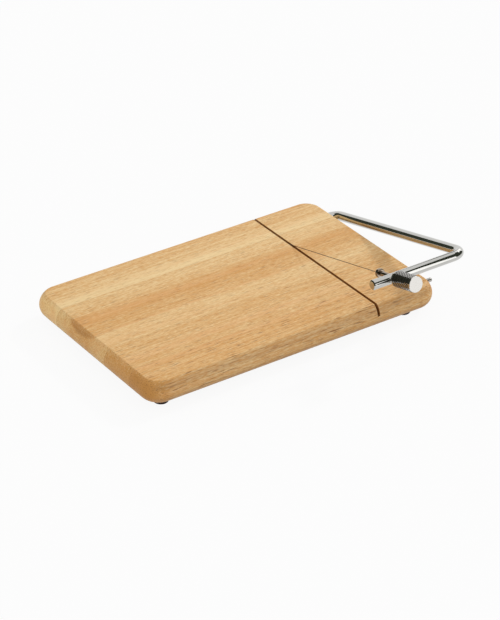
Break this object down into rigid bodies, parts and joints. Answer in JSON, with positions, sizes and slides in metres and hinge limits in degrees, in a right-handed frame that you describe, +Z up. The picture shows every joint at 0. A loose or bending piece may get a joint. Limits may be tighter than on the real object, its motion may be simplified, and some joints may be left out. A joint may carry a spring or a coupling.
{
  "type": "cheese slicer",
  "caption": "Wooden cheese board with a groove across it and a swinging bow that lowers a taut cutting wire into the groove, with a knob for its tension.",
  "frame": {"origin": "middle of the slicer's footprint with the bow at rest, on the plane that its feet stand on", "axes": "+X along the board from its plain end to the bow's end, +Y from the knob's side to the bow's pivot side, +Z up"},
  "size_m": [0.2815, 0.2206, 0.0711],
  "materials": {
    "board_strip_1": "oiled, satin",
    "board_strip_2": "oiled, satin",
    "board_strip_3": "oiled, satin",
    "board_strip_4": "oiled, satin",
    "board_strip_5": "oiled, satin",
    "pin_steel": "satin steel",
    "foot_rubber": "matt dark brown rubber",
    "screw_steel": "zinc-plated steel",
    "rod_chrome": "polished chrome plating",
    "wire_steel": "drawn stainless wire",
    "screw_chrome": "polished chrome plating",
    "knob_chrome": "knurled and chrome plated, plain polished end face"
  },
  "bodies": {
    "board": {"board_strip_1": "board_strip_1", "board_strip_2": "board_strip_2", "board_strip_3": "board_strip_3", "board_strip_4": "board_strip_4", "board_strip_5": "board_strip_5", "stop_pin": "pin_steel", "foot_near_left": "foot_rubber", "foot_far_left": "foot_rubber", "foot_near_right": "foot_rubber", "foot_far_right": "foot_rubber", "foot_screws": "screw_steel"},
    "bow": {"bow_rod": "rod_chrome"},
    "knob": {"tension_knob": "knob_chrome"},
    "wire_set": {"draw_screw": "screw_chrome", "cutting_wire": "wire_steel", "wire_bead": "wire_steel"}
  },
  "joints": [
    {"name": "bow_swing", "type": "hinge", "parent": "board", "child": "bow", "pos_m": [0.12925, 0.08461, 0.016], "axis": [-1, 0, 0], "range_deg": [-11.69, 166.5]},
    {"name": "knob_turn", "type": "hinge", "parent": "bow", "child": "knob", "pos_m": [0.06835, -0.08562, 0.05908], "axis": [0, -0.9694, 0.2453], "range_deg": [0, 360]},
    {"name": "wire_draw", "type": "slide", "parent": "bow", "child": "wire_set", "axis": [0, 0.9694, -0.2453], "range_m": [0, 0.0006999]}
  ],
  "couplings": [
    {"joint": "knob_turn", "follows": "wire_draw", "rad_per_m": 8976}
  ]
}
